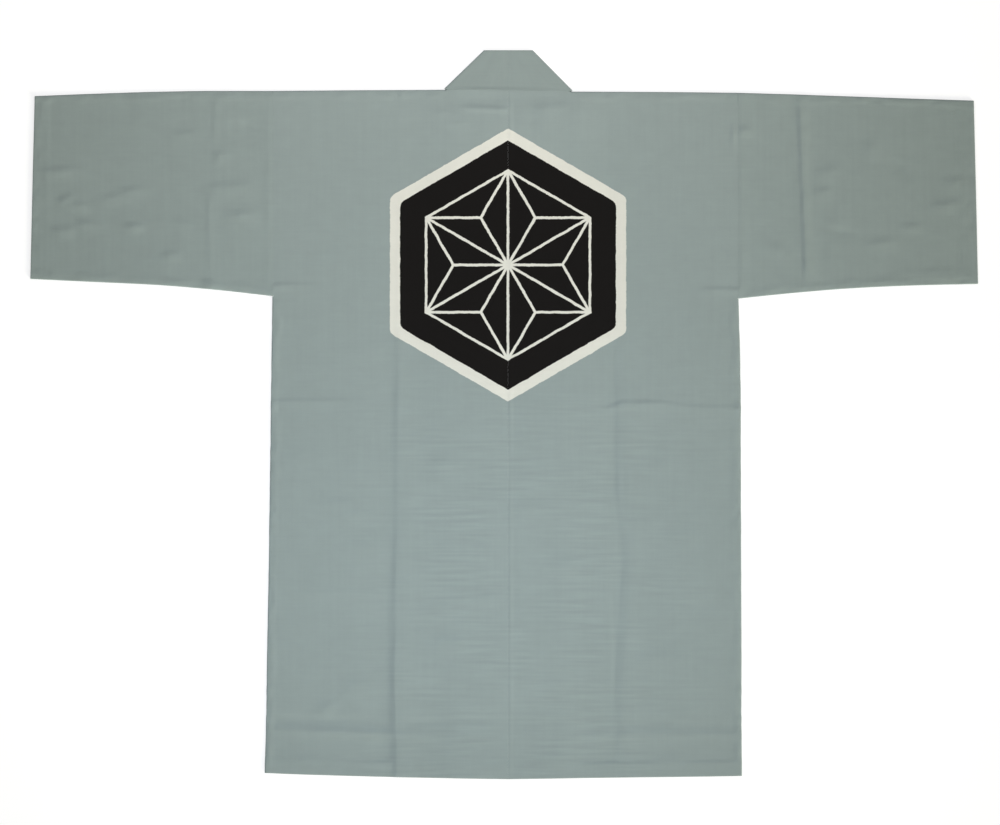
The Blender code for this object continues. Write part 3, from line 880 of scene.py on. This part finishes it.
def weave(tree, look):
    """Slub cotton: (colour factor, surface height in mm)."""
    place = tree.add("ShaderNodeAttribute", attribute_name="cloth_at", attribute_type="GEOMETRY").outputs["Vector"]
    wander = tree.stretched(place, (9.0, 30.0, 1.0), detail=1.0)
    split = tree.add("ShaderNodeSeparateXYZ", place)
    across, along = split.outputs[0], split.outputs[1]
    along = tree.math("MULTIPLY_ADD", wander, 0.0007, along)
    thread = tree.add("ShaderNodeCombineXYZ", across, along, 0.0).outputs[0]

    slub = tree.stretched(thread, (13.0, 200.0, 1.0), detail=1.0, rough=0.4)
    fine = tree.stretched(thread, (34.0, 620.0, 1.0), detail=2.0, rough=0.6, shift=(3.1, 7.7, 0))
    warp = tree.stretched(thread, (420.0, 11.0, 1.0), detail=2.0, rough=0.6, shift=(9.4, 1.3, 0))
    patch = tree.stretched(place, (5.0, 7.0, 1.0), detail=2.0, shift=(5.5, 2.5, 0))
    mottle = tree.stretched(place, (42.0, 60.0, 1.0), detail=3.0, rough=0.6, shift=(1.7, 8.1, 0))
    streak = tree.stretched(thread, (150.0, 6.0, 1.0), detail=1.0, rough=0.5, shift=(4.6, 2.9, 0))
    where = tree.step(tree.stretched(place, (11.0, 14.0, 1.0), detail=1.0, shift=(2.2, 6.1, 0)), -0.05, 0.35)
    # The thickest slubs lie in patches, most of them low on the back near its middle.
    low_middle = tree.math("SUBTRACT", 1.0, tree.step(tree.math("ABSOLUTE", tree.math("ADD", across, -0.03)), 0.2, 0.09))
    low_middle = tree.math("MULTIPLY", low_middle, tree.math("SUBTRACT", 1.0, tree.step(along, 0.02, 0.12)))
    amount = tree.math("MULTIPLY_ADD", low_middle, look.low_slubs, look.slubs)
    bold = tree.math("MULTIPLY", slub, tree.math("MULTIPLY", amount, tree.math("MULTIPLY_ADD", where, 0.75, 0.25)))
    factor = tree.sum(
        1.0,
        bold,
        tree.math("MULTIPLY", fine, 0.02),
        tree.math("MULTIPLY", warp, 0.018),
        tree.math("MULTIPLY", streak, tree.math("MULTIPLY_ADD", where, -0.6 * look.streaks, look.streaks)),
        tree.math("MULTIPLY", patch, 0.02),
        tree.math("MULTIPLY", mottle, look.blotches),
    )
    weft_wave = tree.math("SINE", tree.math("MULTIPLY", along, 2 * math.pi / WEFT))
    warp_wave = tree.math("SINE", tree.math("MULTIPLY", across, 2 * math.pi / WARP))
    knit = tree.math("MULTIPLY", weft_wave, warp_wave)
    height = tree.sum(
        tree.math("MULTIPLY", knit, 0.02),
        tree.math("MULTIPLY", slub, 0.006),
        tree.math("MULTIPLY", bold, 0.16),
        tree.math("MULTIPLY", fine, 0.008),
        tree.math("MULTIPLY", warp, 0.006),
        tree.math("MULTIPLY", mottle, 0.03),
    )
    return factor, height


CREST_AT = (5.2, 206.6)  # its centre
CREST_HALF = 163.0  # from the centre to a flat side of the outline
OUTLINE = 14.0  # the pale border
STAR_HALF = 113.0  # from the centre to a flat side of the leaf star
LINE = 3.6


def crest(tree):
    """A hemp-leaf star in a hexagon: (share of pale dye, share of black dye)."""
    place = tree.add("ShaderNodeTexCoord").outputs["Object"]
    coarse = tree.add("ShaderNodeTexNoise", place)
    coarse.inputs["Scale"].default_value = 75.0
    coarse.inputs["Detail"].default_value = 3.0
    fine = tree.add("ShaderNodeTexNoise", place)
    fine.inputs["Scale"].default_value = 420.0
    fine.inputs["Detail"].default_value = 1.0

    def scaled(value, by):
        made = tree.add("ShaderNodeVectorMath", value, operation="SCALE")
        made.inputs["Scale"].default_value = by
        return made.outputs[0]

    def centred(noise):
        return tree.add("ShaderNodeVectorMath", noise.outputs["Color"], (0.5, 0.5, 0.5), operation="SUBTRACT").outputs[0]

    bleed = tree.add("ShaderNodeVectorMath", scaled(centred(coarse), 0.0022), scaled(centred(fine), 0.001)).outputs[0]
    at = tree.add("ShaderNodeVectorMath", place, (CREST_AT[0] * MM, CREST_AT[1] * MM, 0.0), operation="SUBTRACT").outputs[0]
    at = tree.add("ShaderNodeVectorMath", at, bleed).outputs[0]
    at = scaled(at, 1000.0)
    split = tree.add("ShaderNodeSeparateXYZ", at)
    x, y = split.outputs[0], split.outputs[1]

    half = math.sqrt(3) / 2
    ax, ay = tree.math("ABSOLUTE", x), tree.math("ABSOLUTE", y)
    slanted = tree.math("ADD", tree.math("MULTIPLY", ax, 0.5), tree.math("MULTIPLY", ay, half))
    rounded = tree.math("SMOOTH_MAX", ax, slanted, 9.0)
    hexagon = tree.math("MAXIMUM", ax, slanted)
    pale = tree.math("SUBTRACT", 1.0, tree.step(rounded, CREST_HALF, 0.35))
    black = tree.math("SUBTRACT", 1.0, tree.step(rounded, CREST_HALF - OUTLINE, 0.35))

    # Shares of the three ways across the lattice; two of them alike mark a leaf's rib.
    shares = []
    for degrees in (0, 120, 240):
        c, s = math.cos(math.radians(degrees)), math.sin(math.radians(degrees))
        along = tree.math("ADD", tree.math("MULTIPLY", x, c / STAR_HALF), tree.math("MULTIPLY", y, s / STAR_HALF))
        shares.append(tree.math("SUBTRACT", along, tree.math("FLOOR", along)))
    total = tree.sum(*shares)
    up = tree.math("LESS_THAN", total, 1.5)
    flipped = [tree.math("SUBTRACT", 1.0, share) for share in shares]
    weights = [
        tree.math("ADD", tree.math("MULTIPLY", up, a), tree.math("MULTIPLY", tree.math("SUBTRACT", 1.0, up), b))
        for a, b in zip(shares, flipped)
    ]
    least = tree.math("MINIMUM", tree.math("MINIMUM", weights[0], weights[1]), weights[2])
    most = tree.math("MAXIMUM", tree.math("MAXIMUM", weights[0], weights[1]), weights[2])
    middle = tree.math("SUBTRACT", tree.math("SUBTRACT", 1.0, least), most)
    to_rib = tree.math("MULTIPLY", tree.math("SUBTRACT", middle, least), STAR_HALF / math.sqrt(3))
    to_edge = tree.math("MULTIPLY", least, STAR_HALF)
    to_line = tree.math("MINIMUM", to_rib, to_edge)
    line = tree.math("SUBTRACT", 1.0, tree.step(to_line, LINE / 2, 0.3))
    inside = tree.math("SUBTRACT", 1.0, tree.step(hexagon, STAR_HALF + LINE / 2, 0.3))
    line = tree.math("MULTIPLY", line, inside)
    black = tree.math("MULTIPLY", black, tree.math("SUBTRACT", 1.0, line))
    return pale, black


BODY = (0.304, 0.361, 0.352)
# The sleeves' colour is a little darker and less blue than the body's. This is partly a real difference between the
# pieces' cloth, and partly painted shade for the light that falls off towards the sleeve ends.
SLEEVES_WITH_PAINTED_SHADE = (0.299, 0.356, 0.345)
COLLAR = (0.286, 0.34, 0.328)
PALE_DYE = (0.76, 0.755, 0.68)
BLACK_DYE = (0.0065, 0.0055, 0.0052)


def cotton(name, colour, look, printed=False):
    tree = Tree(name)
    factor, height = weave(tree, look)
    shade = tree.add("ShaderNodeVectorMath", colour, operation="SCALE")
    tree.set(shade.inputs["Scale"], factor)
    result = shade.outputs[0]
    if printed:
        pale, black = crest(tree)
        softer = tree.math("MULTIPLY_ADD", tree.math("SUBTRACT", factor, 1.0), 0.7, 1.0)

        def over(base, dye, share):
            layer = tree.add("ShaderNodeVectorMath", dye, operation="SCALE")
            tree.set(layer.inputs["Scale"], softer)
            mixed = tree.nodes.new("ShaderNodeMix")
            mixed.data_type = "VECTOR"
            tree.set(mixed.inputs[0], share)
            tree.set(mixed.inputs[4], base)
            tree.set(mixed.inputs[5], layer.outputs[0])
            return mixed.outputs[1]

        result = over(result, PALE_DYE, pale)
        result = over(result, BLACK_DYE, black)
    tree.set(tree.shader.inputs["Base Color"], result)
    bump = tree.nodes.new("ShaderNodeBump")
    bump.inputs["Strength"].default_value = 1.0
    bump.inputs["Distance"].default_value = 0.001
    tree.set(bump.inputs["Height"], height)
    tree.set(tree.shader.inputs["Normal"], bump.outputs[0])
    tree.shader.inputs["Roughness"].default_value = 0.88
    tree.shader.inputs["Specular IOR Level"].default_value = 0.14
    tree.shader.inputs["Sheen Weight"].default_value = 0.08
    tree.shader.inputs["Sheen Roughness"].default_value = 0.45
    tree.shader.inputs["Sheen Tint"].default_value = (0.85, 0.92, 0.92, 1)
    tree.material.diffuse_color = (*colour, 1)
    return tree.material


def print_faces(obj):
    """Gives the crest's material to the back ply's outer face and its edges at the seam, where the crest is."""
    data = obj.data
    centres = np.zeros(len(data.polygons) * 3, np.float32)
    normals = np.zeros(len(data.polygons) * 3, np.float32)
    data.polygons.foreach_get("center", centres)
    data.polygons.foreach_get("normal", normals)
    centres, normals = centres.reshape(-1, 3) / MM, normals.reshape(-1, 3)
    reach = CREST_HALF / math.cos(math.radians(30)) + 12
    near = np.hypot(centres[:, 0] - CREST_AT[0], centres[:, 1] - CREST_AT[1]) < reach
    outer = (normals[:, 2] > -0.3) & (centres[:, 2] > FRONT_Z + CLOTH + 0.3)
    data.polygons.foreach_set("material_index", (near & outer).astype(np.int32))
    data.update()


# --- camera, floor and light -----------------------------------------------------------------------

FRAME_WIDTH = 1.380  # metres of the surface across the picture
LENS, SENSOR = 85.0, 36.0


def camera():
    data = bpy.data.cameras.new("camera")
    data.lens, data.sensor_width = LENS, SENSOR
    data.clip_start, data.clip_end = 0.05, 40
    obj = bpy.data.objects.new("camera", data)
    obj.location = (-0.005865, 0.003036, FRAME_WIDTH * LENS / SENSOR + 0.0026)
    bpy.context.scene.collection.objects.link(obj)
    bpy.context.scene.camera = obj


def area_light(name, place, target, size, power, colour):
    data = bpy.data.lights.new(name, "AREA")
    data.shape = "RECTANGLE"
    data.size, data.size_y = size
    data.energy = power
    data.color = colour
    obj = bpy.data.objects.new(name, data)
    obj.location = place
    obj.rotation_mode = "QUATERNION"
    obj.rotation_quaternion = (Vector(target) - Vector(place)).to_track_quat("-Z", "Y")
    obj.visible_camera = False
    bpy.context.scene.collection.objects.link(obj)


def studio():
    area_light("overhead_low", (-0.064, -0.258, 0.7), (-0.064, -0.258, 0), (0.88, 0.42), 2.98, (0.905, 1.0, 1.14))
    area_light("overhead_high", (-0.064, 0.69, 0.7), (-0.064, 0.69, 0), (0.88, 0.4), 3.03, (1.02, 1.0, 1.03))
    area_light("key", (9.415, -9.415, 4.326), (0, 0, 0), (3.4, 3.4), 1880.0, (1.03, 1.0, 0.84))
    world = bpy.data.worlds.new("studio")
    bpy.context.scene.world = world
    world.use_nodes = True
    nodes, links = world.node_tree.nodes, world.node_tree.links
    sky = next(n for n in nodes if n.type == "BACKGROUND")
    way = nodes.new("ShaderNodeTexCoord")
    split = nodes.new("ShaderNodeSeparateXYZ")
    links.new(way.outputs["Generated"], split.inputs[0])
    ramp = nodes.new("ShaderNodeMapRange")
    ramp.interpolation_type = "SMOOTHSTEP"
    for socket, value in zip(list(ramp.inputs)[1:5], (0.02, 0.4, 0.5, 0.15)):
        socket.default_value = value
    links.new(split.outputs[2], ramp.inputs[0])
    links.new(ramp.outputs[0], sky.inputs["Strength"])
    sky.inputs["Color"].default_value = (1.0, 1.0, 0.94, 1)

    mesh = bpy.data.meshes.new("floor")
    bm = bmesh.new()
    bmesh.ops.create_grid(bm, x_segments=4, y_segments=4, size=6)
    bm.to_mesh(mesh)
    bm.free()
    floor = bpy.data.objects.new("floor", mesh)
    bpy.context.scene.collection.objects.link(floor)
    tree = Tree("floor_paper")
    tree.shader.inputs["Base Color"].default_value = (0.42, 0.42, 0.42, 1)
    tree.shader.inputs["Roughness"].default_value = 0.95
    tree.shader.inputs["Specular IOR Level"].default_value = 0.1
    tree.shader.inputs["Emission Color"].default_value = (1, 1, 1, 1)
    tree.shader.inputs["Emission Strength"].default_value = 0.72
    mesh.materials.append(tree.material)
    settings = bpy.context.scene.view_settings
    settings.view_transform = "Standard"
    settings.look = "None"
    settings.exposure = 0
    settings.gamma = 1


def wear(obj, slot, node, flat, area, *materials):
    for material in materials:
        obj.data.materials.append(material)
    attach(obj, "root")
    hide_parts(node)


camera()
studio()
body_cloth = cotton("body_cotton", BODY, BODY_WEAVE)
crest_cloth = cotton("body_cotton_crest", BODY, BODY_WEAVE, printed=True)
sleeve_cloth = cotton("sleeve_cotton", SLEEVES_WITH_PAINTED_SHADE, SLEEVE_WEAVE)
collar_cloth = cotton("collar_cotton", COLLAR, SLEEVE_WEAVE)
for side in ("left", "right"):
    half = body(side)
    print_faces(half)
    wear(half, "body_cloth", f"body_{side}", (0.335, 1.93), 0.57, body_cloth, crest_cloth)
    wear(sleeve(side), "sleeve_cloth", f"sleeve_{side}", (0.56, 0.352), None, sleeve_cloth)
wear(collar(), "collar_cloth", "collar", (0.056, 2.16), None, collar_cloth)
